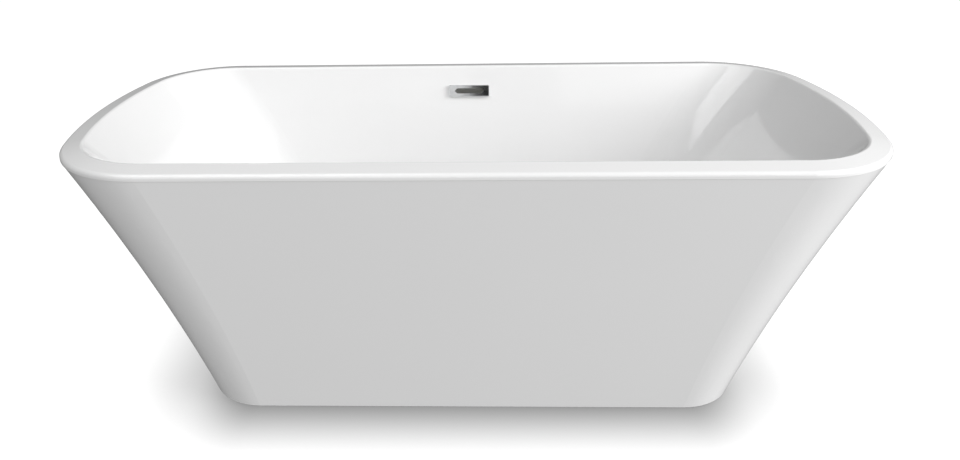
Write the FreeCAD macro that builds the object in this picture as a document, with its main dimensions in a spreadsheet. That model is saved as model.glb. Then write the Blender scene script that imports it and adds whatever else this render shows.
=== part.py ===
import FreeCAD, Part
import math
import os
import re
import Sketcher

# A freestanding acrylic bathtub: a thin bathing shell and a thin skirt bonded at the rim, a welded
# steel cradle on four screw feet under the floor, a slotted overflow in the long back wall and a
# push-down waste in the middle of the floor. Millimetres, +Z up, origin on the floor at the centre.

doc = FreeCAD.newDocument("Bathtub")
sheet = doc.addObject("Spreadsheet::Sheet", "Sizes")

sizes = {
    # overall envelope and rim
    "length": 1700,
    "width": 800,
    "height": 590,
    "rim_corner": 216,
    "rim_end_radius": 1064,
    "lip_height": 11.5,
    "deck_rise": 6.5,
    "deck_side": 50,
    "deck_end": 42,
    "roll_fillet": 8,
    "crest_fillet": 6,
    # bathing well
    "floor_top": 150,
    "side_run": 100,
    "end_run": 288,
    "end_share": 0.42,
    "opening_corner": 168,
    "opening_end_radius": 1019,
    "floor_corner": 130,
    "floor_end_radius": 1500,
    "floor_fillet": 70,
    "basin_wall": 6,
    "wall_spread": 5,
    # outer skirt
    "skirt_side_run": 67,
    "skirt_end_run": 244,
    "flare_share": 0.45,
    "base_corner": 129,
    "base_end_radius": 3000,
    "skirt_wall": 5,
    "skirt_gap": 2,
    "seam_step": 0.6,
    "top_flange": 22,
    "bottom_flange": 25,
    # base board and welded frame
    "board_thickness": 18,
    "board_reach": 16,
    "board_corner": 60,
    "board_hole": 60,
    "rail_size": 30,
    "rail_wall": 2,
    "rail_end_gap": 66,
    "rail_side_gap": 48,
    "rail_overhang": 100,
    "rail_inset": 40,
    "cap_plate": 2,
    "cap_depth": 8,
    # screw feet
    "foot_inset": 36,
    "pad_radius": 22,
    "pad_height": 10,
    "socket_radius": 12,
    "socket_height": 16,
    "socket_floor": 6,
    "stem_radius": 6,
    "stem_clearance": 0.05,
    "stem_hole_clearance": 0.6,
    "collar_height": 8,
    "collar_radius": 9.8,
    "collar_gap": 3,
    "nut_radius": 11,
    "nut_height": 10,
    "stem_end": 8,
    # skirt brackets and small screws
    "bracket_thickness": 3,
    "bracket_width": 40,
    "bracket_leg": 22,
    "bracket_offset": 5,
    "bracket_end_gap": 10,
    "bracket_screw_inset": 14,
    "flange_screw_inset": 18,
    "screw_radius": 2.5,
    "screw_head": 4.8,
    "screw_head_height": 3,
    "screw_bite": 5,
    "screw_clearance": 0.3,
    "board_screw_bite": 13,
    "board_screw_near": 130,
    "board_screw_far": 330,
    # overflow, measured along the back wall
    "overflow_z": 526,
    "cover_length": 107,
    "cover_height": 30,
    "cover_depth": 7,
    "cover_fillet": 1.6,
    "slot_length": 78,
    "slot_height": 13.5,
    "slot_point": 7,
    "wall_hole_length": 82,
    "wall_hole_height": 18,
    "overflow_screw_x": 48.1,
    "overflow_screw_bite": 4,
    "gasket_thickness": 2,
    "gasket_height": 38,
    "body_flange": 6,
    "chamber_length": 86,
    "chamber_height": 30,
    "chamber_depth": 30,
    "chamber_wall": 3,
    "pipe_radius": 13,
    "pipe_wall": 2,
    "pipe_offset": 28,
    "pipe_bend": 60,
    "pipe_rise": 6,
    "spigot_wall": 3,
    "spigot_length": 40,
    "pipe_insert": 20,
    "slip_nut_wall": 4,
    "slip_nut_length": 14,
    "slip_nut_lip": 3,
    # waste at the middle of the floor
    "waste_radius": 23,
    "waste_wall": 3,
    "waste_hole_clearance": 0.5,
    "waste_tube_drop": 41,
    "flange_radius": 35,
    "flange_thickness": 3,
    "flange_seal": 1,
    "seal_overlap": 10,
    "tee_wall": 4,
    "tee_flange_radius": 40,
    "tee_flange_height": 6,
    "tee_seal": 2,
    "tee_socket": 38,
    "tee_drop": 26,
    "tee_port_length": 60,
    "tail_radius": 20,
    "tail_wall": 2.5,
    "tail_drop": 32,
    "tail_insert": 14,
    "tail_bead_radius": 21.5,
    "tail_bead_height": 2,
    "tail_bead_gap": 1,
    "washer_thickness": 2,
    "tail_nut_lip": 4,
    # push-down stopper
    "hub_radius": 8,
    "hub_height": 14,
    "hub_drop": 33,
    "arm_width": 4,
    "stopper_stem_radius": 4,
    "stopper_clearance": 0.05,
    "stopper_travel": 9,
    "stopper_clip_radius": 7,
    "stopper_clip_height": 4,
    "stopper_seal_radius": 29,
    "stopper_seal_bore": 22,
    "stopper_seal_height": 1.5,
    "stopper_cap_radius": 31,
    "stopper_cap_height": 5.5,
    "stopper_cap_fillet": 2.2,
    "stopper_socket": 3,
}

derived = {
    "rim_x": "length / 2",
    "rim_y": "width / 2",
    "rim_z": "height - deck_rise",
    "seam_z": "rim_z - lip_height",
    "opening_x": "rim_x - deck_end",
    "opening_y": "rim_y - deck_side",
    "floor_x": "opening_x - end_run",
    "floor_y": "opening_y - side_run",
    "floor_under": "floor_top - basin_wall",
    "well_mid_z": "(height + floor_top) / 2",
    "well_mid_x": "floor_x + end_share * end_run",
    "well_mid_y": "floor_y + side_run / 2",
    "well_mid_corner": "(opening_corner + floor_corner) / 2",
    "well_mid_end": "2 / (1 / opening_end_radius + 1 / floor_end_radius)",
    "base_x": "rim_x - skirt_end_run",
    "base_y": "rim_y - skirt_side_run",
    "skirt_mid_z": "(skirt_gap + seam_z) / 2",
    "skirt_mid_x": "base_x + flare_share * skirt_end_run",
    "skirt_mid_y": "base_y + flare_share * skirt_side_run",
    "skirt_mid_corner": "(base_corner + rim_corner) / 2",
    "skirt_mid_end": "2 / (1 / base_end_radius + 1 / rim_end_radius)",
    "board_x": "floor_x - floor_fillet - basin_wall + board_reach",
    "board_y": "floor_y - floor_fillet - basin_wall + board_reach",
    "board_z": "floor_under - board_thickness",
    "long_rail_x": "base_x - rail_end_gap",
    "long_rail_y": "board_y - rail_inset",
    "long_rail_z": "board_z - rail_size",
    "cross_rail_x": "long_rail_x - rail_overhang",
    "cross_rail_y": "base_y - rail_side_gap",
    "cross_rail_z": "long_rail_z - rail_size",
    "foot_y": "cross_rail_y - foot_inset",
    "nut_z": "cross_rail_z - nut_height",
    "stem_top": "cross_rail_z + rail_size + nut_height + stem_end",
    "collar_z": "socket_height + collar_gap",
    "wall_tilt": "atan(side_run / (height - floor_top))",
    "overflow_y": "opening_y - (height - overflow_z) * side_run / (height - floor_top)",
    "gasket_z": "(wall_spread + basin_wall * tan(wall_tilt)) * cos(wall_tilt)",
    "body_z": "gasket_z + gasket_thickness",
    "chamber_z": "body_z + body_flange",
    "spigot_radius": "pipe_radius + spigot_wall",
    "pipe_z": "cross_rail_z + pipe_rise",
    "pipe_start_y": "overflow_y + pipe_offset * cos(wall_tilt) - pipe_insert * sin(wall_tilt)",
    "pipe_start_z": "overflow_z - pipe_offset * sin(wall_tilt) - pipe_insert * cos(wall_tilt)",
    "pipe_end_y": "tee_port_length - pipe_insert",
    "slip_start": "slip_nut_length - slip_nut_lip",
    "flange_z": "floor_top + flange_seal",
    "flange_top": "flange_z + flange_thickness",
    "waste_bore": "waste_radius - waste_wall",
    "tee_radius": "waste_radius + tee_wall",
    "tee_top": "floor_under - tee_seal",
    "tee_z": "pipe_z - tee_drop",
    "tail_z": "tee_z - tail_drop",
    "tail_nut_z": "tee_z - washer_thickness - tail_nut_lip",
    "hub_z": "floor_top - hub_drop",
    "seal_z": "flange_top",
    "cap_z": "seal_z + stopper_seal_height",
    "clip_z": "hub_z - stopper_travel - stopper_clip_height",
}

for row, (alias, value) in enumerate(sizes.items(), 1):
    sheet.set(f"A{row}", alias)
    sheet.set(f"B{row}", str(value))
    sheet.setAlias(f"B{row}", alias)
doc.recompute()

WORD = re.compile(r"[a-z_]+")
XY, XZ, YZ = "XY_Plane", "XZ_Plane", "YZ_Plane"
TILTED = FreeCAD.Rotation(FreeCAD.Vector(1, 0, 0), 30)
RIGHT_ANGLE = math.pi / 2
nodes = []


def expr(text):
    """The sheet expression for a size written in plain words."""
    text = str(text)
    while any(word in derived for word in WORD.findall(text)):
        text = WORD.sub(lambda m: f"({derived[m[0]]})" if m[0] in derived else m[0], text)
    return WORD.sub(lambda m: f"Sizes.{m[0]}" if m[0] in sizes else m[0], text)


def number(text):
    value = sheet.evalExpression(expr(text))
    return float(getattr(value, "Value", value))


def bind(item, **properties):
    """Bind properties by expression; a double underscore stands for a dot."""
    for name, text in properties.items():
        item.setExpression(name.replace("__", "."), expr(text))
    return item


def node(item, label):
    item.Label = label
    nodes.append(item)
    return item


def place(item, x="0", y="0", z="0", tilt=None):
    if tilt is not None:
        item.Placement = FreeCAD.Placement(FreeCAD.Vector(), TILTED)
        bind(item, Placement__Rotation__Angle=tilt)
    return bind(item, Placement__Base__x=x, Placement__Base__y=y, Placement__Base__z=z)


# ---- sketches ----


def new_sketch(body, name, role, offset="0"):
    sketch = body.newObject("Sketcher::SketchObject", name)
    plane = next(item for item in body.Origin.OriginFeatures if item.Role == role)
    sketch.AttachmentSupport = [(plane, "")]
    sketch.MapMode = "FlatFace"
    return bind(sketch, AttachmentOffset__Base__z=offset)


def dimension(sketch, name, constraint, text):
    index = sketch.addConstraint(constraint)
    sketch.renameConstraint(index, name)
    sketch.setExpression(f"Constraints.{name}", expr(text))


def outline(body, name, z, section, grow="0"):
    """A closed plan outline: straight long sides, bowed ends and four round corners."""
    half_x, half_y, corner, end = [f"({text}) + {grow}" for text in section]
    sketch = new_sketch(body, name, XY, z)
    a, b, r, big = [number(text) for text in (half_x, half_y, corner, end)]
    px = a - big + math.sqrt((big - r) ** 2 - (b - r) ** 2)
    py = b - r
    turn = math.atan2(py, px - a + big)

    def arc(x, y, radius, start, stop):
        circle = Part.Circle(FreeCAD.Vector(x, y, 0), FreeCAD.Vector(0, 0, 1), radius)
        return Part.ArcOfCircle(circle, start, stop)

    def line(x1, y1, x2, y2):
        return Part.LineSegment(FreeCAD.Vector(x1, y1, 0), FreeCAD.Vector(x2, y2, 0))

    sketch.addGeometry([
        arc(a - big, 0, big, -turn, turn),
        arc(px, py, r, turn, RIGHT_ANGLE),
        line(px, b, -px, b),
        arc(-px, py, r, RIGHT_ANGLE, math.pi - turn),
        arc(big - a, 0, big, math.pi - turn, math.pi + turn),
        arc(-px, -py, r, math.pi + turn, 3 * RIGHT_ANGLE),
        line(-px, -b, px, -b),
        arc(px, -py, r, -RIGHT_ANGLE, -turn),
    ], False)
    limit = Sketcher.Constraint
    rules = [limit("Tangent", i, 2, (i + 1) % 8, 1) for i in range(8)]
    rules += [limit("Equal", 1, i) for i in (3, 5, 7)] + [limit("Equal", 0, 4)]
    rules += [limit("Horizontal", 2), limit("Horizontal", 6)]
    rules += [limit("PointOnObject", 0, 3, -1), limit("PointOnObject", 4, 3, -1)]
    sketch.addConstraint(rules)
    dimension(sketch, "corner", limit("Radius", 1, r), corner)
    dimension(sketch, "end", limit("Radius", 0, big), end)
    dimension(sketch, "right", limit("DistanceX", 0, 3, -1, 1, big - a), f"({end}) - ({half_x})")
    dimension(sketch, "left", limit("DistanceX", -1, 1, 4, 3, big - a), f"({end}) - ({half_x})")
    dimension(sketch, "back", limit("DistanceY", -1, 1, 2, 1, b), half_y)
    dimension(sketch, "front", limit("DistanceY", 6, 1, -1, 1, b), half_y)
    return sketch


def polygon(body, name, role, points, offset="0"):
    """A closed polygon whose corners are given by expressions."""
    sketch = new_sketch(body, name, role, offset)
    corners = [FreeCAD.Vector(number(x), number(y), 0) for x, y in points]
    count = len(corners)
    sketch.addGeometry([Part.LineSegment(corners[i], corners[(i + 1) % count]) for i in range(count)], False)
    limit = Sketcher.Constraint
    sketch.addConstraint([limit("Coincident", i, 2, (i + 1) % count, 1) for i in range(count)])
    for i, (x, y) in enumerate(points):
        dimension(sketch, f"across{i}", limit("DistanceX", -1, 1, i, 1, corners[i].x), x)
        dimension(sketch, f"up{i}", limit("DistanceY", -1, 1, i, 1, corners[i].y), y)
    return sketch


def circles(body, name, role, items, offset="0"):
    """Circles given by centre and radius."""
    sketch = new_sketch(body, name, role, offset)
    limit = Sketcher.Constraint
    for i, (x, y, radius) in enumerate(items):
        centre = FreeCAD.Vector(number(x), number(y), 0)
        sketch.addGeometry(Part.Circle(centre, FreeCAD.Vector(0, 0, 1), number(radius)), False)
        dimension(sketch, f"across{i}", limit("DistanceX", -1, 1, i, 3, centre.x), x)
        dimension(sketch, f"up{i}", limit("DistanceY", -1, 1, i, 3, centre.y), y)
        dimension(sketch, f"radius{i}", limit("Radius", i, number(radius)), radius)
    return sketch


def rectangle(half_x, half_y):
    return [(f"-({half_x})", f"-({half_y})"), (half_x, f"-({half_y})"), (half_x, half_y), (f"-({half_x})", half_y)]


# ---- features ----


def new_body(label):
    return node(doc.addObject("PartDesign::Body", label), label)


def pad(body, name, profile, length, midplane=False, flip=False):
    feature = body.newObject("PartDesign::Pad", name)
    feature.Profile = profile
    feature.Midplane = midplane
    feature.Reversed = flip
    return bind(feature, Length=length)


def pocket(body, name, profile, length):
    """A pocket cut half its length to each side of its sketch."""
    feature = body.newObject("PartDesign::Pocket", name)
    feature.Profile = profile
    feature.Midplane = True
    return bind(feature, Length=length)


def loft(body, name, kind, sections, ruled=False):
    feature = body.newObject(f"PartDesign::{kind}Loft", name)
    feature.Profile = sections[0]
    feature.Sections = sections[1:]
    feature.Ruled = ruled
    return feature


def turned(label, points):
    """A body turned about its own Z axis from (radius, height) corners."""
    body = new_body(label)
    profile = polygon(body, f"{label}_profile", XZ, points)
    feature = body.newObject("PartDesign::Revolution", f"{label}_turned")
    feature.Profile = profile
    feature.ReferenceAxis = (profile, ["V_Axis"])
    feature.Angle = 360
    return body


def fillet(body, name, radius, wanted):
    """Round the edges of the body's tip that the test picks."""
    doc.recompute()
    base = body.Tip
    names = [f"Edge{i}" for i, edge in enumerate(base.Shape.Edges, 1) if wanted(edge.BoundBox)]
    feature = body.newObject("PartDesign::Fillet", name)
    feature.Base = (base, names)
    return bind(feature, Radius=radius)


def level_at(height, beyond=0):
    """A test for flat edges at one height that reach further out than a given length."""
    return lambda box: abs(box.ZMin - height) < 0.01 and abs(box.ZMax - height) < 0.01 and (
        max(box.XMax, -box.XMin) > beyond)


def ring_points(outer, inner, low, high):
    return [(inner, low), (outer, low), (outer, high), (inner, high)]


# ---- primitives ----


def box(name, x, y, z, centre_x="0", centre_y="0", low="0"):
    item = doc.addObject("Part::Box", name)
    bind(item, Length=x, Width=y, Height=z)
    return place(item, f"({centre_x}) - ({x}) / 2", f"({centre_y}) - ({y}) / 2", low)


def cylinder(name, radius, height, x="0", y="0", z="0"):
    item = doc.addObject("Part::Cylinder", name)
    bind(item, Radius=radius, Height=height)
    return place(item, x, y, z)


def hexagon(name, radius, height, x="0", y="0", z="0"):
    item = doc.addObject("Part::Prism", name)
    item.Polygon = 6
    bind(item, Circumradius=radius, Height=height)
    return place(item, x, y, z)


def compound(name, items):
    item = doc.addObject("Part::Compound", name)
    item.Links = items
    return item


def fuse(name, items):
    item = doc.addObject("Part::MultiFuse", name)
    item.Shapes = items
    return item


def cut(name, base, tools):
    item = doc.addObject("Part::Cut", name)
    item.Base = base
    item.Tool = tools[0] if len(tools) == 1 else compound(f"{name}_tools", tools)
    return item


def screw(name, x, y, head_z, shank_end, up):
    """A round-headed screw; the head sits at head_z on the side away from the shank."""
    if up:
        head = cylinder(f"{name}_head", "screw_head", "screw_head_height", x, y, f"({head_z}) - screw_head_height")
        shank = cylinder(f"{name}_shank", "screw_radius", f"({shank_end}) - ({head_z})", x, y, head_z)
    else:
        head = cylinder(f"{name}_head", "screw_head", "screw_head_height", x, y, head_z)
        shank = cylinder(f"{name}_shank", "screw_radius", f"({head_z}) - ({shank_end})", x, y, shank_end)
    return fuse(name, [head, shank])


# ---- bathing shell ----

rim = ("rim_x", "rim_y", "rim_corner", "rim_end_radius")
opening = ("opening_x", "opening_y", "opening_corner", "opening_end_radius")
well_mid = ("well_mid_x", "well_mid_y", "well_mid_corner", "well_mid_end")
well_floor = ("floor_x", "floor_y", "floor_corner", "floor_end_radius")


def overflow_sketch(sketch):
    """Lay a sketch of the basin in the plane of the back wall at the overflow."""
    sketch.AttachmentOffset = FreeCAD.Placement(FreeCAD.Vector(), TILTED)
    return bind(
        sketch,
        AttachmentOffset__Rotation__Angle="-90 deg - wall_tilt",
        AttachmentOffset__Base__y="overflow_y",
        AttachmentOffset__Base__z="overflow_z",
    )


basin = new_body("inner_basin")
pad(basin, "DeckEdge", outline(basin, "DeckUnderside", "seam_z", rim), "lip_height")
loft(basin, "DeckSlope", "Additive", [
    outline(basin, "DeckOuter", "rim_z", rim),
    outline(basin, "DeckCrest", "height", opening),
], ruled=True)
loft(basin, "WellOutside", "Additive", [
    outline(basin, "OutsideFloor", "floor_under", well_floor, "wall_spread"),
    outline(basin, "OutsideMiddle", "well_mid_z - basin_wall", well_mid, "wall_spread"),
    outline(basin, "OutsideTop", "height - basin_wall", opening, "wall_spread"),
])
loft(basin, "Well", "Subtractive", [
    outline(basin, "InsideFloor", "floor_top", well_floor),
    outline(basin, "InsideMiddle", "well_mid_z", well_mid),
    outline(basin, "InsideTop", "height", opening),
])
fillet(basin, "FloorRound", "floor_fillet", level_at(number("floor_top")))
fillet(basin, "UndersideRound", "floor_fillet + basin_wall", level_at(number("floor_under")))
fillet(basin, "CrestRound", "crest_fillet", level_at(number("height")))
fillet(basin, "LipRoll", "roll_fillet", level_at(number("rim_z"), number("floor_x")))
waste_hole = circles(basin, "WasteHole", XY, [("0", "0", "waste_radius + waste_hole_clearance")], "floor_top")
pocket(basin, "WasteCut", waste_hole, "4 * basin_wall")
slot = overflow_sketch(polygon(basin, "OverflowHole", XY, rectangle("wall_hole_length / 2", "wall_hole_height / 2")))
pocket(basin, "OverflowCut", slot, "4 * basin_wall")
overflow_screw_hole = "screw_radius + screw_clearance"
pins = overflow_sketch(circles(basin, "OverflowScrewHoles", XY, [
    ("-overflow_screw_x", "0", overflow_screw_hole),
    ("overflow_screw_x", "0", overflow_screw_hole),
]))
pocket(basin, "OverflowScrewCut", pins, "4 * basin_wall")

# ---- skirt ----

skirt_rim = tuple(f"{text} - seam_step" for text in rim)
skirt_mid = ("skirt_mid_x", "skirt_mid_y", "skirt_mid_corner", "skirt_mid_end")
skirt_base = ("base_x", "base_y", "base_corner", "base_end_radius")
flange_screw_y = "base_y - flange_screw_inset"

skirt = new_body("outer_skirt")
loft(skirt, "SkirtOutside", "Additive", [
    outline(skirt, "OuterBase", "skirt_gap", skirt_base),
    outline(skirt, "OuterMiddle", "skirt_mid_z", skirt_mid),
    outline(skirt, "OuterRim", "seam_z", skirt_rim),
])
loft(skirt, "SkirtInside", "Subtractive", [
    outline(skirt, "InnerBase", "skirt_gap + skirt_wall", skirt_base, "-skirt_wall"),
    outline(skirt, "InnerMiddle", "skirt_mid_z", skirt_mid, "-skirt_wall"),
    outline(skirt, "InnerRim", "seam_z - skirt_wall", skirt_rim, "-1.5 * skirt_wall"),
])
pocket(skirt, "TopOpening", outline(skirt, "TopFlange", "seam_z", skirt_rim, "-top_flange"), "3 * skirt_wall")
bottom_opening = outline(skirt, "BottomFlange", "skirt_gap", skirt_base, "-bottom_flange")
pocket(skirt, "BottomOpening", bottom_opening, "3 * skirt_wall")
flange_holes = circles(skirt, "FlangeScrewHoles", XY, [
    (f"{sx}cross_rail_x", f"{sy}({flange_screw_y})", "screw_radius") for sx in ("", "-") for sy in ("", "-")
], "skirt_gap")
pocket(skirt, "FlangeScrewCut", flange_holes, "3 * skirt_wall")

# ---- base board and frame ----

board = new_body("base_board")
pad(board, "Board", polygon(board, "BoardOutline", XY, rectangle("board_x", "board_y"), "board_z"), "board_thickness")
fillet(board, "BoardCorners", "board_corner", lambda box: box.XLength < 0.01 and box.YLength < 0.01)
pocket(board, "BoardHole", circles(board, "WasteGap", XY, [("0", "0", "board_hole")], "board_z"), "3 * board_thickness")
board_screw_spots = [
    (f"{sx}board_screw_{place_name}", f"{sy}long_rail_y")
    for sx in ("", "-") for place_name in ("near", "far") for sy in ("", "-")
]
pilots = circles(board, "PilotHoles", XY, [(x, y, "screw_radius") for x, y in board_screw_spots], "board_z")
pocket(board, "PilotCut", pilots, "2 * board_screw_bite")

tube_bore = "rail_size - 2 * rail_wall"
for side, sign in (("front", "-"), ("back", "")):
    rail_y = f"{sign}long_rail_y"
    outer = box(f"long_{side}_outer", "2 * long_rail_x", "rail_size", "rail_size", "0", rail_y, "long_rail_z")
    inner = box(f"long_{side}_inner", "2 * long_rail_x", tube_bore, tube_bore, "0", rail_y, "long_rail_z + rail_wall")
    holes = [
        cylinder(f"long_{side}_hole{i}", "screw_radius + screw_clearance", "rail_size", x, y, "long_rail_z")
        for i, (x, y) in enumerate(board_screw_spots) if y == rail_y
    ]
    node(cut(f"long_{side}_rail", outer, [inner] + holes), f"long_rail_{side}")

feet = [
    ("front_left", "-cross_rail_x", "-foot_y"),
    ("front_right", "cross_rail_x", "-foot_y"),
    ("back_left", "-cross_rail_x", "foot_y"),
    ("back_right", "cross_rail_x", "foot_y"),
]
bracket_screw_y = "cross_rail_y - bracket_screw_inset"
for side, rail_x in (("left", "-cross_rail_x"), ("right", "cross_rail_x")):
    outer = box(f"cross_{side}_outer", "rail_size", "2 * cross_rail_y", "rail_size", rail_x, "0", "cross_rail_z")
    inner = box(
        f"cross_{side}_inner", tube_bore, "2 * cross_rail_y", tube_bore, rail_x, "0", "cross_rail_z + rail_wall")
    holes = [
        cylinder(f"stem_hole_{name}", "stem_radius + stem_hole_clearance", "rail_size", x, y, "cross_rail_z")
        for name, x, y in feet if x == rail_x
    ]
    holes += [
        cylinder(f"bracket_hole_{side}{sign}", "screw_radius", "rail_wall", rail_x, f"{sign}({bracket_screw_y})",
                 "cross_rail_z")
        for sign in ("", "-")
    ]
    node(cut(f"cross_{side}_rail", outer, [inner] + holes), f"cross_rail_{side}")


def end_cap(name, x, y, low, along_x, sign):
    """A plastic plug: a plate over the tube's end and a square stub inside it."""
    plate = f"({x}) + {sign}cap_plate / 2", f"({y}) + {sign}cap_plate / 2"
    stub = f"({x}) - {sign}cap_depth / 2", f"({y}) - {sign}cap_depth / 2"
    if along_x:
        return fuse(name, [
            box(f"{name}_plate", "cap_plate", "rail_size", "rail_size", plate[0], y, low),
            box(f"{name}_stub", "cap_depth", tube_bore, tube_bore, stub[0], y, f"{low} + rail_wall"),
        ])
    return fuse(name, [
        box(f"{name}_plate", "rail_size", "cap_plate", "rail_size", x, plate[1], low),
        box(f"{name}_stub", tube_bore, "cap_depth", tube_bore, x, stub[1], f"{low} + rail_wall"),
    ])


caps = []
for sx in ("", "-"):
    for sy in ("", "-"):
        index = len(caps)
        caps.append(end_cap(f"cap{index}", f"{sx}long_rail_x", f"{sy}long_rail_y", "long_rail_z", True, sx))
        caps.append(end_cap(f"cap{index + 1}", f"{sx}cross_rail_x", f"{sy}cross_rail_y", "cross_rail_z", False, sy))
node(compound("caps", caps), "rail_end_caps")

board_screws = [
    screw(f"board_screw{i}", x, y, "long_rail_z", "board_z + board_screw_bite", True)
    for i, (x, y) in enumerate(board_screw_spots)
]
node(compound("board_screw_set", board_screws), "board_screws")

# ---- skirt brackets ----

flange_top_z = "skirt_gap + skirt_wall"
bracket_screws = []
for name, x, y in feet:
    sign = "-" if y.startswith("-") else ""
    inner_y = "cross_rail_y - bracket_leg"
    web_y = "cross_rail_y + bracket_offset"
    end_y = "base_y - bracket_end_gap"
    corners = [
        (inner_y, "cross_rail_z - bracket_thickness"),
        (web_y, "cross_rail_z - bracket_thickness"),
        (web_y, flange_top_z),
        (end_y, flange_top_z),
        (end_y, f"{flange_top_z} + bracket_thickness"),
        (f"{web_y} + bracket_thickness", f"{flange_top_z} + bracket_thickness"),
        (f"{web_y} + bracket_thickness", "cross_rail_z"),
        (inner_y, "cross_rail_z"),
    ]
    bracket = new_body(f"skirt_bracket_{name}")
    profile = polygon(bracket, f"Bend_{name}", YZ, [(f"{sign}({across})", up) for across, up in corners], x)
    pad(bracket, f"Strap_{name}", profile, "bracket_width", midplane=True)
    spots = [(x, f"{sign}({bracket_screw_y})", "screw_radius + screw_clearance"),
             (x, f"{sign}({flange_screw_y})", "screw_radius + screw_clearance")]
    pocket(bracket, f"StrapHoles_{name}", circles(bracket, f"Spots_{name}", XY, spots), "4 * cross_rail_z")
    bracket_screws.append(screw(
        f"rail_screw_{name}", x, spots[0][1], "cross_rail_z - bracket_thickness", "cross_rail_z + screw_bite", True))
    bracket_screws.append(screw(
        f"flange_screw_{name}", x, spots[1][1], f"{flange_top_z} + bracket_thickness",
        f"{flange_top_z} - screw_bite", False))
node(compound("bracket_screw_set", bracket_screws), "bracket_screws")

# ---- feet ----

running_bore = "stem_radius + stem_clearance"
rail_nuts = []
lock_nuts = []
for name, x, y in feet:
    foot = turned(f"foot_pad_{name}", [
        ("0", "0"),
        ("pad_radius", "0"),
        ("pad_radius", "pad_height / 2"),
        ("socket_radius", "pad_height"),
        ("socket_radius", "socket_height"),
        (running_bore, "socket_height"),
        (running_bore, "socket_floor"),
        ("0", "socket_floor"),
    ])
    place(foot, x, y)
    rod = cylinder(f"rod_{name}", "stem_radius", "stem_top - socket_floor", x, y, "socket_floor")
    collar = hexagon(f"collar_{name}", "collar_radius", "collar_height", x, y, "collar_z")
    node(fuse(f"stem_{name}", [rod, collar]), f"foot_stem_{name}")
    for kind, low, group in (("rail", "nut_z", rail_nuts), ("lock", "cross_rail_z + rail_size", lock_nuts)):
        blank = hexagon(f"{kind}_blank_{name}", "nut_radius", "nut_height", x, y, low)
        bore = cylinder(f"{kind}_bore_{name}", running_bore, "nut_height", x, y, low)
        group.append(cut(f"{kind}_nut_{name}", blank, [bore]))
node(compound("rail_nut_set", rail_nuts), "rail_nuts")
node(compound("lock_nut_set", lock_nuts), "lock_nuts")

# ---- overflow, built flat and tilted into the back wall: X along it, Y down it, Z out through it ----

OUTWARD = "-90 deg - wall_tilt"


def on_wall(item):
    return place(item, "0", "overflow_y", "overflow_z", OUTWARD)


cover = on_wall(new_body("overflow_cover"))
cover_outline = polygon(cover, "CoverOutline", XY, rectangle("cover_length / 2", "cover_height / 2"))
pad(cover, "CoverPlate", cover_outline, "cover_depth", flip=True)
fillet(cover, "CoverRound", "cover_fillet", lambda box: box.ZMin < -0.01)
pocket(cover, "CoverSlot", polygon(cover, "SlotOutline", XY, [
    ("-slot_length / 2", "0"),
    ("slot_point - slot_length / 2", "-slot_height / 2"),
    ("slot_length / 2 - slot_point", "-slot_height / 2"),
    ("slot_length / 2", "0"),
    ("slot_length / 2 - slot_point", "slot_height / 2"),
    ("slot_point - slot_length / 2", "slot_height / 2"),
]), "3 * cover_depth")
cover_threads = circles(cover, "CoverThreads", XY, [
    ("-overflow_screw_x", "0", "screw_radius"), ("overflow_screw_x", "0", "screw_radius")])
pocket(cover, "CoverThreadCut", cover_threads, "2 * overflow_screw_bite")


def screw_holes(body, name, radius, depth):
    spots = [("-overflow_screw_x", "0", radius), ("overflow_screw_x", "0", radius)]
    pocket(body, f"{name}Cut", circles(body, name, XY, spots, "body_z"), depth)


gasket = on_wall(new_body("overflow_gasket"))
gasket_outline = polygon(
    gasket, "GasketOutline", XY, rectangle("cover_length / 2", "gasket_height / 2"), "gasket_z")
pad(gasket, "GasketSheet", gasket_outline, "gasket_thickness")
pocket(gasket, "GasketGap", polygon(
    gasket, "GasketHole", XY, rectangle("wall_hole_length / 2", "wall_hole_height / 2"), "gasket_z"), "6 * gasket_thickness")
screw_holes(gasket, "GasketScrewHoles", "screw_radius + screw_clearance", "4 * gasket_thickness")

chamber = on_wall(new_body("overflow_body"))
pad(chamber, "BodyFlange", polygon(
    chamber, "FlangeOutline", XY, rectangle("cover_length / 2", "gasket_height / 2"), "body_z"), "body_flange")
pad(chamber, "Chamber", polygon(
    chamber, "ChamberOutline", XY, rectangle("chamber_length / 2", "chamber_height / 2"), "chamber_z"), "chamber_depth")
spigot = circles(chamber, "SpigotOutline", XZ, [("0", "pipe_offset", "spigot_radius")])
pad(chamber, "Spigot", spigot, "spigot_length", flip=True)
pocket(chamber, "ChamberSpace", polygon(
    chamber, "ChamberHole", XY, rectangle("chamber_length / 2 - chamber_wall", "chamber_height / 2 - chamber_wall"),
    "body_z"), "2 * (body_flange + chamber_depth - chamber_wall)")
doc.recompute()
bore = chamber.newObject("PartDesign::Pocket", "SpigotBore")
bore.Profile = circles(chamber, "SpigotHole", XZ, [("0", "pipe_offset", "pipe_radius")])
bind(bore, Length="spigot_length")
screw_holes(chamber, "BodyScrewHoles", "screw_radius + screw_clearance", "4 * body_flange")

overflow_screws = []
for side, x in (("left", "-overflow_screw_x"), ("right", "overflow_screw_x")):
    overflow_screws.append(screw(f"overflow_screw_{side}", x, "0", "chamber_z", "-overflow_screw_bite", False))
on_wall(node(compound("overflow_screw_set", overflow_screws), "overflow_screws"))


def slip_nut(label, inner, bore_radius, lip):
    """A cup-shaped ring nut: threaded skirt low, lip closing on the pipe at the top."""
    return turned(label, [
        (inner, "0"),
        (f"{inner} + slip_nut_wall", "0"),
        (f"{inner} + slip_nut_wall", "slip_nut_length"),
        (bore_radius, "slip_nut_length"),
        (bore_radius, f"slip_nut_length - {lip}"),
        (inner, f"slip_nut_length - {lip}"),
    ])


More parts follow.
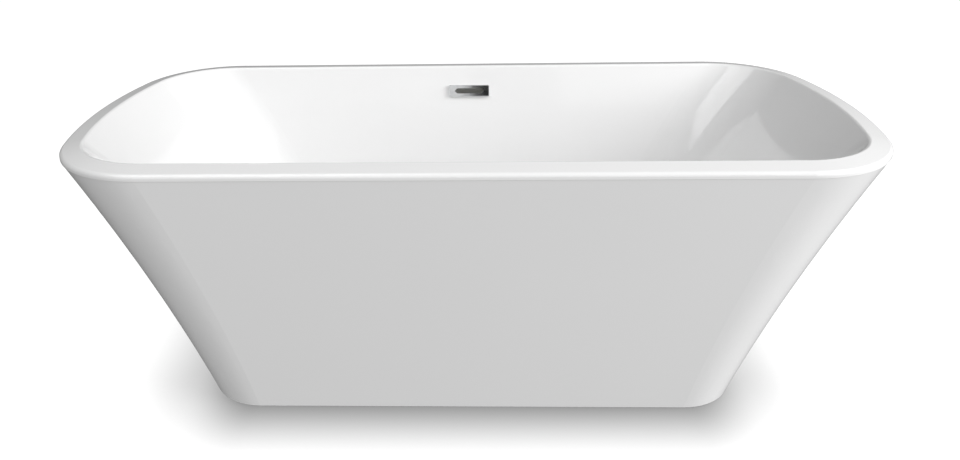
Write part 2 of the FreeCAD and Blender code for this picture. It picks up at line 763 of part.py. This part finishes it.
upper_nut = slip_nut("overflow_slip_nut", "spigot_radius", "pipe_radius", "slip_nut_lip")
nut_along = "spigot_length - slip_start"
place(
    upper_nut, "0",
    f"overflow_y + pipe_offset * cos(wall_tilt) - ({nut_along}) * sin(wall_tilt)",
    f"overflow_z - pipe_offset * sin(wall_tilt) - ({nut_along}) * cos(wall_tilt)",
    "180 deg - wall_tilt",
)

pipe = new_body("overflow_pipe")
path = new_sketch(pipe, "PipeRun", YZ)
tilt = math.radians(number("wall_tilt"))
start = FreeCAD.Vector(number("pipe_start_y"), number("pipe_start_z"), 0)
bend = number("pipe_bend")
level = number("pipe_z")
centre_z = level + bend
drop = start.y - centre_z + bend * math.sin(tilt)
tangent = FreeCAD.Vector(start.x - drop * math.tan(tilt), start.y - drop, 0)
centre = FreeCAD.Vector(tangent.x - bend * math.cos(tilt), centre_z, 0)
finish = FreeCAD.Vector(number("pipe_end_y"), level, 0)
circle = Part.Circle(centre, FreeCAD.Vector(0, 0, 1), bend)
path.addGeometry([
    Part.LineSegment(start, tangent),
    Part.ArcOfCircle(circle, -RIGHT_ANGLE, math.atan2(tangent.y - centre.y, tangent.x - centre.x)),
    Part.LineSegment(FreeCAD.Vector(centre.x, level, 0), finish),
], False)
limit = Sketcher.Constraint
path.addConstraint([
    limit("Tangent", 0, 2, 1, 2),
    limit("Tangent", 1, 1, 2, 1),
    limit("Horizontal", 2),
])
dimension(path, "start_y", limit("DistanceX", -1, 1, 0, 1, start.x), "pipe_start_y")
dimension(path, "start_z", limit("DistanceY", -1, 1, 0, 1, start.y), "pipe_start_z")
dimension(path, "end_y", limit("DistanceX", -1, 1, 2, 2, finish.x), "pipe_end_y")
dimension(path, "end_z", limit("DistanceY", -1, 1, 2, 2, level), "pipe_z")
dimension(path, "bend", limit("Radius", 1, bend), "pipe_bend")
dimension(path, "slant", limit("Angle", 0, -RIGHT_ANGLE - tilt), OUTWARD)
section = circles(pipe, "PipeSection", XY, [("0", "0", "pipe_radius"), ("0", "0", "pipe_radius - pipe_wall")])
section.AttachmentOffset = FreeCAD.Placement(FreeCAD.Vector(), TILTED)
bind(
    section,
    AttachmentOffset__Rotation__Angle="-wall_tilt",
    AttachmentOffset__Base__y="pipe_start_y",
    AttachmentOffset__Base__z="pipe_start_z",
)
sweep = pipe.newObject("PartDesign::AdditivePipe", "PipeSweep")
sweep.Profile = section
sweep.Spine = path

# ---- waste ----

flange = turned("waste_flange", [
    ("waste_bore", "floor_top - waste_tube_drop"),
    ("waste_radius", "floor_top - waste_tube_drop"),
    ("waste_radius", "flange_z"),
    ("flange_radius", "flange_z"),
    ("flange_radius", "flange_top - flange_thickness / 3"),
    ("flange_radius - flange_thickness", "flange_top"),
    ("waste_bore", "flange_top"),
])
for name, size_x, size_y in (("Across", "waste_radius - waste_wall / 2", "arm_width / 2"),
                             ("Along", "arm_width / 2", "waste_radius - waste_wall / 2")):
    arm = polygon(flange, f"Arm{name}", XY, rectangle(size_x, size_y), "hub_z")
    pad(flange, f"Web{name}", arm, "hub_height / 2")
pad(flange, "Hub", circles(flange, "HubOutline", XY, [("0", "0", "hub_radius")], "hub_z"), "hub_height")
hub_bore = circles(flange, "HubBore", XY, [("0", "0", "stopper_stem_radius + stopper_clearance")], "hub_z")
pocket(flange, "HubCut", hub_bore, "4 * hub_height")

turned("flange_seal", ring_points("waste_radius + seal_overlap", "waste_radius", "floor_top", "flange_z"))
turned("tee_seal", ring_points("waste_radius + seal_overlap", "waste_radius", "tee_top", "floor_under"))

tee = turned("waste_tee", [
    ("tail_radius", "tee_z"),
    ("tee_radius", "tee_z"),
    ("tee_radius", "tee_top - tee_flange_height"),
    ("tee_flange_radius", "tee_top - tee_flange_height"),
    ("tee_flange_radius", "tee_top"),
    ("waste_radius", "tee_top"),
    ("waste_radius", "tee_top - tee_socket"),
    ("tail_radius", "tee_top - tee_socket"),
])
port = circles(tee, "PortOutline", XZ, [("0", "pipe_z", "spigot_radius")], "-tail_radius")
pad(tee, "Port", port, "tee_port_length - tail_radius", flip=True)
doc.recompute()
port_bore = tee.newObject("PartDesign::Pocket", "PortBore")
port_bore.Profile = circles(tee, "PortHole", XZ, [("0", "pipe_z", "pipe_radius")])
bind(port_bore, Length="tee_port_length")
waterway = circles(tee, "Waterway", XY, [("0", "0", "tail_radius")], "tee_z")
pocket(tee, "WaterwayCut", waterway, "2 * (tee_top - tee_socket - tee_z)")

side_nut = slip_nut("tee_slip_nut", "spigot_radius", "pipe_radius", "slip_nut_lip")
place(side_nut, "0", "tee_port_length - slip_start", "pipe_z", "-90")

bead_top = "tail_nut_z - tail_bead_gap"
turned("tailpiece", [
    ("tail_radius - tail_wall", "tail_z"),
    ("tail_radius", "tail_z"),
    ("tail_radius", f"{bead_top} - tail_bead_height"),
    ("tail_bead_radius", f"{bead_top} - tail_bead_height"),
    ("tail_bead_radius", bead_top),
    ("tail_radius", bead_top),
    ("tail_radius", "tee_z + tail_insert"),
    ("tail_radius - tail_wall", "tee_z + tail_insert"),
])
turned("tailpiece_washer", ring_points("tee_radius", "tail_radius", "tee_z - washer_thickness", "tee_z"))
tail_nut = slip_nut("tailpiece_nut", "tee_radius", "tail_radius", "tail_nut_lip")
place(tail_nut, "0", "0", "tail_nut_z + slip_nut_length", "180")

# ---- push-down stopper, closed ----

stopper = turned("stopper_cap", [
    ("0", "cap_z + stopper_socket"),
    ("stopper_stem_radius", "cap_z + stopper_socket"),
    ("stopper_stem_radius", "cap_z"),
    ("stopper_cap_radius", "cap_z"),
    ("stopper_cap_radius", "cap_z + stopper_cap_height"),
    ("0", "cap_z + stopper_cap_height"),
])
fillet(stopper, "CapRound", "stopper_cap_fillet", level_at(number("cap_z + stopper_cap_height")))
turned("stopper_seal", ring_points("stopper_seal_radius", "stopper_seal_bore", "seal_z", "cap_z"))
turned("stopper_stem", [
    ("0", "clip_z"), ("stopper_stem_radius", "clip_z"),
    ("stopper_stem_radius", "cap_z + stopper_socket"), ("0", "cap_z + stopper_socket"),
])
turned("stopper_clip", ring_points(
    "stopper_clip_radius", "stopper_stem_radius", "clip_z", "clip_z + stopper_clip_height"))

# ---- check and write ----

doc.recompute()
bad = [item.Name for item in doc.Objects if "Invalid" in item.State or "Error" in item.State]
bad += [item.Label for item in nodes if item.Shape.isNull() or not item.Shape.isValid()]
if bad:
    raise SystemExit(f"failed objects: {bad}")
os.makedirs("parts", exist_ok=True)
for item in nodes:
    item.Shape.exportStep(f"parts/{item.Label}.step")
print(len(nodes), "parts")
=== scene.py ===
import math
import bpy
from mathutils import Matrix, Vector


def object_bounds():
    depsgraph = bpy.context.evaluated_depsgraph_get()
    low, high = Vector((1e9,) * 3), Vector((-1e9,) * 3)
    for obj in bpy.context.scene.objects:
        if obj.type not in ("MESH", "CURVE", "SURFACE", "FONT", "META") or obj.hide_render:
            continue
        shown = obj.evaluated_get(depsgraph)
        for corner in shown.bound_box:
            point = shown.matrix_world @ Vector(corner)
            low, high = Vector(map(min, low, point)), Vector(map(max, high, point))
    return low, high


# Freestanding acrylic bathtub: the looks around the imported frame, in metres, Z up, long side along X.

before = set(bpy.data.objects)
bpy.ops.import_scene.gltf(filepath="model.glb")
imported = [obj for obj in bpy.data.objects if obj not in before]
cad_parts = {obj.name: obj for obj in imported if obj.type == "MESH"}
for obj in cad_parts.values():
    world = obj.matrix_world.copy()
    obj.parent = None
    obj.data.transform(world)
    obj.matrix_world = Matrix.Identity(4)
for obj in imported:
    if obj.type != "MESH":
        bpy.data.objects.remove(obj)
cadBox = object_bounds()
scene = bpy.context.scene
print("frame loaded,", len(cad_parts), "pieces")


# Shader tools: sums are written as plain expressions on Wire.
class Wire:
    # an output socket that sums can be written on; each sum adds its Math node
    def __init__(self, patch, socket):
        self.patch, self.socket = patch, socket

    def sum(self, how, first, second):
        return self.patch.node("ShaderNodeMath", {"operation": how}, {0: first, 1: second})

    def __add__(self, other):
        return self.sum("ADD", self, other)

    def __radd__(self, other):
        return self.sum("ADD", other, self)

    def __sub__(self, other):
        return self.sum("SUBTRACT", self, other)

    def __rsub__(self, other):
        return self.sum("SUBTRACT", other, self)

    def __mul__(self, other):
        return self.sum("MULTIPLY", self, other)

    def __rmul__(self, other):
        return self.sum("MULTIPLY", other, self)


class Patch:
    # one node tree; node() adds a node with its settings, then feeds its sockets
    def __init__(self, tree):
        self.tree = tree
        tree.nodes.clear()

    def node(self, kind, settings=None, sockets=None, out=0):
        made = self.tree.nodes.new(kind)
        for name, value in (settings or {}).items():
            setattr(made, name, value)
        for name, value in (sockets or {}).items():
            socket = made.inputs[name]
            if isinstance(value, Wire):
                self.tree.links.new(value.socket, socket)
            elif isinstance(value, tuple):
                socket.default_value = (*value, 1)[:len(socket.default_value)]
            else:
                socket.default_value = value
        return Wire(self, made.outputs[out]) if len(made.outputs) else made

    def place(self, stretch=(1, 1, 1)):
        spot = self.node("ShaderNodeTexCoord", out="Object")
        return self.node("ShaderNodeMapping", {}, {"Vector": spot, "Scale": stretch})

    def noise(self, scale, detail=2.0, stretch=(1, 1, 1), roughness=0.5):
        return self.node("ShaderNodeTexNoise", {}, {
            "Vector": self.place(stretch), "Scale": scale, "Detail": detail, "Roughness": roughness})

    def cells(self, scale, feature="F1", out="Distance"):
        return self.node("ShaderNodeTexVoronoi", {"feature": feature}, {
            "Vector": self.place(), "Scale": scale}, out)

    def step(self, value, start, end):
        return self.node("ShaderNodeMapRange", {"interpolation_type": "SMOOTHSTEP"}, {
            "Value": value, "From Min": start, "From Max": end})

    def blend(self, first, second, amount):
        return self.node("ShaderNodeMix", {"data_type": "RGBA"}, {0: amount, 6: first, 7: second}, 2)

    def facing(self, axis):
        normal = self.node("ShaderNodeNewGeometry", out="Normal")
        return self.node("ShaderNodeSeparateXYZ", {}, {0: normal}, axis)

    def bump(self, height, depth, strength=1.0, under=None):
        sockets = {"Height": height, "Distance": depth, "Strength": strength}
        if under:
            sockets["Normal"] = under
        return self.node("ShaderNodeBump", {}, sockets)

    def shader(self, colour, roughness, normal, **fixed):
        sockets = {"Base Color": colour, "Roughness": roughness, "Normal": normal}
        return self.node("ShaderNodeBsdfPrincipled", {}, {**sockets, **fixed})


def finish(name, recipe):
    # a material whose surface is what recipe(patch) gives back
    material = bpy.data.materials.new(name)
    material.use_nodes = True
    patch = Patch(material.node_tree)
    patch.node("ShaderNodeOutputMaterial", {}, {"Surface": recipe(patch)})
    return material


# The acrylic shells: gloss outside, glass strand and resin on the moulder's side.
acrylicLook = {
    "white": (0.865, 0.865, 0.865), "brightWhite": (0.885, 0.885, 0.885), "gloss": 0.05, "haze": 0.05,
    "ripple": 0.0011, "peel": 0.000012, "resin": (0.60, 0.56, 0.42), "oldResin": (0.50, 0.47, 0.35),
    "strand": (0.74, 0.72, 0.60), "strandHeight": 0.0012,
}


def acrylicRecipe(backFacesUp):
    def recipe(p):
        look = acrylicLook
        white = p.blend(look["white"], look["brightWhite"], p.noise(1.7, 3))
        roughness = look["gloss"] + p.noise(5, 4) * look["haze"] + p.noise(260) * 0.02
        ripple = p.bump(p.noise(4.2, 1), look["ripple"], 0.35)
        skin = p.bump(p.noise(520, 1), look["peel"], 0.5, ripple)
        front = p.shader(white, roughness, skin, IOR=1.49)

        strands = p.noise(90, 6, (1, 9, 4), 0.7) + p.noise(90, 6, (9, 1, 4), 0.7)
        laid = p.blend(look["resin"], look["strand"], p.step(strands, 0.95, 1.12))
        laid = p.blend(laid, look["oldResin"], p.step(p.noise(11, 3), 0.45, 0.75) * 0.5)
        coarse = p.bump(p.noise(24), 0.004, 0.6)
        back = p.shader(laid, 0.5 + strands * 0.1, p.bump(strands, look["strandHeight"], 0.8, coarse))

        up = p.facing("Z")
        side = p.step(up if backFacesUp else 0 - up, 0.075, 0.13)
        return p.node("ShaderNodeMixShader", {}, {0: side, 1: front, 2: back})
    return recipe


# The metals.
chromeLook = {"tone": (0.80, 0.81, 0.82), "dull": (0.70, 0.71, 0.72), "gloss": 0.045, "smear": 0.09}
galvanisedLook = {"pale": (0.60, 0.62, 0.63), "dark": (0.40, 0.42, 0.44), "spangle": 95}
zincLook = {"tone": (0.62, 0.63, 0.62), "warm": (0.66, 0.61, 0.47), "gloss": 0.26}
brassLook = {"tone": (0.72, 0.53, 0.24), "dark": (0.46, 0.33, 0.15), "gloss": 0.24}


def chromeRecipe(p):
    look = chromeLook
    smear = p.noise(60, 4)
    colour = p.blend(look["tone"], look["dull"], p.step(smear, 0.5, 0.8))
    skin = p.bump(p.noise(140, 2), 0.00005, 0.4)
    return p.shader(colour, look["gloss"] + smear * look["smear"], skin, Metallic=1.0)


def galvanisedRecipe(p):
    look = galvanisedLook
    crystal = p.node("ShaderNodeSeparateColor", {}, {0: p.cells(look["spangle"], out="Color")})
    colour = p.blend(look["dark"], look["pale"], crystal * 0.8 + p.noise(30, 5) * 0.3)
    skin = p.bump(crystal, 0.0002, 0.35, p.bump(p.noise(700, 3), 0.0001, 0.5))
    return p.shader(colour, 0.32 + crystal * 0.22, skin, Metallic=0.85)


def zincRecipe(p):
    look = zincLook
    stain = p.noise(85, 5)
    colour = p.blend(look["tone"], look["warm"], p.step(stain, 0.4, 0.7) * 0.7)
    return p.shader(colour, look["gloss"] + stain * 0.2, p.bump(p.noise(1500), 0.00008, 0.5), Metallic=1.0)


def brassRecipe(p):
    look = brassLook
    lines = p.noise(900, 2, (0.15, 0.15, 1))  # marks left by turning
    colour = p.blend(look["tone"], look["dark"], p.step(p.noise(110, 5), 0.5, 0.8))
    return p.shader(colour, look["gloss"] + lines * 0.2, p.bump(lines, 0.0001, 0.5), Metallic=1.0)


# Rubber, plastics and plywood.
mouldedLook = {
    "blackPlastic": {
        "tone": (0.020, 0.021, 0.022), "worn": (0.060, 0.060, 0.062), "gloss": 0.42, "grain": 0.0001},
    "whitePlastic": {
        "tone": (0.78, 0.78, 0.76), "worn": (0.72, 0.71, 0.67), "gloss": 0.33, "grain": 0.00005},
    "greyPlastic": {
        "tone": (0.36, 0.37, 0.38), "worn": (0.44, 0.45, 0.46), "gloss": 0.38, "grain": 0.00005},
    "blackRubber": {
        "tone": (0.018, 0.018, 0.018), "worn": (0.05, 0.05, 0.05), "gloss": 0.66, "grain": 0.00018},
}
plywoodLook = {
    "pale": (0.62, 0.45, 0.27), "dark": (0.40, 0.26, 0.14), "glueLine": (0.17, 0.10, 0.06), "ply": 0.0026,
}


def mouldedRecipe(look):
    def recipe(p):
        scuff = p.noise(42, 6, roughness=0.65)
        colour = p.blend(look["tone"], look["worn"], p.step(scuff, 0.48, 0.72))
        grain = p.bump(p.noise(1300, 3), look["grain"], 0.7)
        return p.shader(colour, look["gloss"] + scuff * 0.16, grain, IOR=1.5)
    return recipe


def plywoodRecipe(p):
    look = plywoodLook
    grain = p.noise(38, 7, (0.12, 1.4, 1.4), 0.62)
    figure = p.noise(5, 3, (0.25, 1.6, 1))
    face = p.blend(look["dark"], look["pale"], p.step(grain + figure * 0.5, 0.5, 0.95))
    height = p.node("ShaderNodeSeparateXYZ", {}, {0: p.place()}, "Z")
    layer = p.node("ShaderNodeMath", {"operation": "PINGPONG"}, {0: height, 1: look["ply"]})
    edge = p.blend(look["glueLine"], face, p.step(layer, 0.0001, 0.0006))
    level = p.facing("Z")
    flat = p.step(level * level, 0.4, 0.6)
    colour = p.blend(edge, face, flat)
    return p.shader(colour, 0.62 + grain * 0.2, p.bump(grain, 0.0005, 0.6))


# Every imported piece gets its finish; a name that ends with an underscore stands for a family.
finishes = {
    "basinAcrylic": (acrylicRecipe(False), ["inner_basin"]),
    "skirtAcrylic": (acrylicRecipe(True), ["outer_skirt"]),
    "chromePlate": (chromeRecipe, ["overflow_cover", "waste_flange", "stopper_cap", "tailpiece"]),
    "spangledSteel": (galvanisedRecipe, ["long_rail_", "cross_rail_", "skirt_bracket_"]),
    "zincPlate": (zincRecipe, [
        "foot_stem_", "rail_nuts", "lock_nuts", "board_screws", "bracket_screws", "overflow_screws"]),
    "turnedBrass": (brassRecipe, ["stopper_stem", "stopper_clip"]),
    "blackMoulding": (mouldedRecipe(mouldedLook["blackPlastic"]), ["foot_pad_", "rail_end_caps"]),
    "whiteMoulding": (mouldedRecipe(mouldedLook["whitePlastic"]), [
        "waste_tee", "tee_slip_nut", "tailpiece_nut", "overflow_body", "overflow_slip_nut"]),
    "greyPipe": (mouldedRecipe(mouldedLook["greyPlastic"]), ["overflow_pipe"]),
    "softRubber": (mouldedRecipe(mouldedLook["blackRubber"]), [
        "flange_seal", "tee_seal", "stopper_seal", "tailpiece_washer", "overflow_gasket"]),
    "birchPlywood": (plywoodRecipe, ["base_board"]),
}
dressed = {}
for name, (recipe, starts) in finishes.items():
    material = finish(name, recipe)
    for node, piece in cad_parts.items():
        if any(node == start or start.endswith("_") and node.startswith(start) for start in starts):
            dressed[node] = name
            for slot in piece.material_slots:
                slot.material = material
bare = sorted(set(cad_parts) - set(dressed))
print("finishes made,", len(finishes), "and left bare:", bare)


# The studio: pale floor and backdrop, a big soft key on the right, a weaker one on the left, and a
# soft surround whose strength is given along a few directions.
studio = {
    "floorRadius": 14.0, "domeRadius": 14.14, "ringCount": 64, "domeStep": 10,
    "floorTone": (0.25, 0.25, 0.25), "floorWear": (0.23, 0.23, 0.23), "floorGlow": 0.97,
    "shadeStart": -0.07, "shadeEnd": 0.245, "shadeLow": 0.09, "sideLift": 0.38,
    "sideReach": 0.16, "deepShade": (0.05, 0.05, 0.05),
    "footHalf": (0.482, 0.192), "footCorner": 0.13,
    "rightKey": {"towards": (0.85, -0.25, 0.45), "distance": 4.5, "size": 3.0, "power": 197.0},
    "leftKey": {"towards": (-0.40, -0.35, 0.85), "distance": 4.5, "size": 3.0, "power": 85.0},
    "surround": {
        (1, 0, 0): 0.40, (0, 1, 0): 0.16, (0, -1, 0): 0.68, (0, 0, -1): 0.34, (-1, 0, 0): 0.02,
        (0, -0.707, 0.707): 0.13},
}
middle = Vector((0, 0, 0.35))


def stageObject(name, vertices, faces, material, seenByRays=False):
    mesh = bpy.data.meshes.new(name)
    mesh.from_pydata(vertices, [], faces)
    mesh.materials.append(material)
    material.cycles.emission_sampling = "NONE"  # shows to the lens, lights nothing
    made = bpy.data.objects.new(name, mesh)
    scene.collection.objects.link(made)
    made.visible_diffuse = made.visible_shadow = made.visible_transmission = False
    made.visible_glossy = seenByRays
    made.visible_camera = not seenByRays
    return made


def ring(radius, height):
    turns = [2 * math.pi * i / studio["ringCount"] for i in range(studio["ringCount"])]
    return [(radius * math.cos(turn), radius * math.sin(turn), height) for turn in turns]


def floorRecipe(p):
    # a painted shade close round the foot of the tub, by the distance from its rounded outline
    look = studio
    outside = []
    for axis, half in zip("XY", look["footHalf"]):
        along = p.node("ShaderNodeSeparateXYZ", {}, {0: p.place()}, axis)
        beyond = p.node("ShaderNodeMath", {"operation": "ABSOLUTE"}, {0: along}) - half
        outside.append(p.node("ShaderNodeMath", {"operation": "MAXIMUM"}, {0: beyond, 1: 0.0}))
    square = outside[0] * outside[0] + outside[1] * outside[1]
    away = p.node("ShaderNodeMath", {"operation": "SQRT"}, {0: square}) - look["footCorner"]
    near = 1 - p.step(away, look["shadeStart"], look["shadeEnd"])
    near = near * (1 - p.step(outside[0], 0.0, look["sideReach"]) * look["sideLift"])
    # lightness left by the painted shade round the foot: 1 far away, falling towards shadeLow close to it
    lit = 1 - near * (1 - look["shadeLow"])
    tone = p.blend(look["floorTone"], look["floorWear"], p.noise(0.8, 3))
    top = p.shader(p.blend(look["deepShade"], tone, lit), 0.9, p.bump(p.noise(60), 0.0002, 0.2))
    # the floor glows white, and the painted shade dims this glow round the foot
    glow = p.node("ShaderNodeEmission", {}, {
        "Color": p.blend((0.0, 0.0, 0.0), (1.0, 1.0, 1.0), lit), "Strength": look["floorGlow"]})
    both = p.node("ShaderNodeAddShader", {}, {0: top, 1: glow})
    under = p.node("ShaderNodeNewGeometry", out="Backfacing")
    clear = p.node("ShaderNodeBsdfTransparent")
    return p.node("ShaderNodeMixShader", {}, {0: under, 1: both, 2: clear})  # clear when seen from below


def backdropRecipe(p):
    return p.node("ShaderNodeEmission", {}, {"Strength": 1.0})


floorRing = ring(studio["floorRadius"], cadBox[0].z)
stageObject("studioFloor", floorRing, [tuple(range(len(floorRing)))], finish("paleFloor", floorRecipe))

# a closed dome of rings, so that the backdrop is pale from every side
domeRings = []
for angle in range(-90, 91, studio["domeStep"]):
    level = math.radians(angle)
    domeRings.append(ring(
        studio["domeRadius"] * max(math.cos(level), 0.001), studio["domeRadius"] * math.sin(level)))
domeFaces = []
for low in range(len(domeRings) - 1):
    for i in range(studio["ringCount"]):
        start, after = low * studio["ringCount"], (i + 1) % studio["ringCount"]
        above = start + studio["ringCount"]
        domeFaces.append((start + i, start + after, above + after, above + i))
stageObject("studioBackdrop", sum(domeRings, []), domeFaces, finish("paleBackdrop", backdropRecipe))


for name in ("rightKey", "leftKey"):
    light = bpy.data.lights.new(name, "AREA")
    light.size, light.energy = studio[name]["size"], studio[name]["power"]
    lamp = bpy.data.objects.new(name, light)
    towards = Vector(studio[name]["towards"]).normalized()
    lamp.location = middle + towards * studio[name]["distance"]
    lamp.rotation_euler = towards.to_track_quat("Z", "Y").to_euler()
    lamp.visible_camera = False
    scene.collection.objects.link(lamp)

# a dark board beside the lens, seen only in reflections, which darkens half of the overflow cover
board = {"left": 0.005, "right": 0.5, "y": -1.9, "low": 0.62, "high": 1.2}
boardCorners = [("left", "low"), ("right", "low"), ("right", "high"), ("left", "high")]
boardPoints = [(board[side], board["y"], board[level]) for side, level in boardCorners]
darkFelt = finish("darkFelt", mouldedRecipe(mouldedLook["blackRubber"]))
stageObject("darkBoard", boardPoints, [(0, 1, 2, 3)], darkFelt, seenByRays=True)

world = bpy.data.worlds.new("studioSurround")
scene.world = world
world.use_nodes = True
air = Patch(world.node_tree)
heading = air.node("ShaderNodeTexCoord", out="Generated")
fill = None
for towards, strength in studio["surround"].items():
    along = air.node("ShaderNodeVectorMath", {"operation": "DOT_PRODUCT"},
                     {0: heading, 1: towards}, "Value")
    ahead = air.node("ShaderNodeMath", {"operation": "MAXIMUM"}, {0: along, 1: 0.0})
    lobe = ahead * ahead * strength
    fill = lobe if fill is None else fill + lobe
glow = air.node("ShaderNodeBackground", {}, {"Color": (1, 1, 1), "Strength": fill})
air.node("ShaderNodeOutputWorld", {}, {"Surface": glow})
print("studio lit")


# The camera, a little above the rim and looking down into the tub.
cameraLook = {
    "place": (-0.0004, -1.6672, 1.0995), "turn": 0.03423, "tilt": -0.4766, "lean": 0.01783,
    "lens": 28.5, "shift": (0.0351, 0.01375),
}
cameraData = bpy.data.cameras.new("studioCamera")
cameraData.lens = cameraLook["lens"]
cameraData.sensor_width = 36
cameraData.shift_x, cameraData.shift_y = cameraLook["shift"]
cameraData.clip_start, cameraData.clip_end = 0.05, 60
camera = bpy.data.objects.new("studioCamera", cameraData)
scene.collection.objects.link(camera)
turned = (Matrix.Rotation(cameraLook["turn"], 4, "Z") @ Matrix.Rotation(cameraLook["tilt"], 4, "X")
          @ Matrix.Rotation(cameraLook["lean"], 4, "Y") @ Matrix.Rotation(math.pi / 2, 4, "X"))
camera.matrix_world = Matrix.Translation(cameraLook["place"]) @ turned
scene.camera = camera
scene.view_settings.view_transform = "Standard"
print("camera set")


# Sizes: update the scene, then print the frame's box.
bpy.context.view_layer.update()
print("cad box", [tuple(round(v, 4) for v in corner) for corner in cadBox])
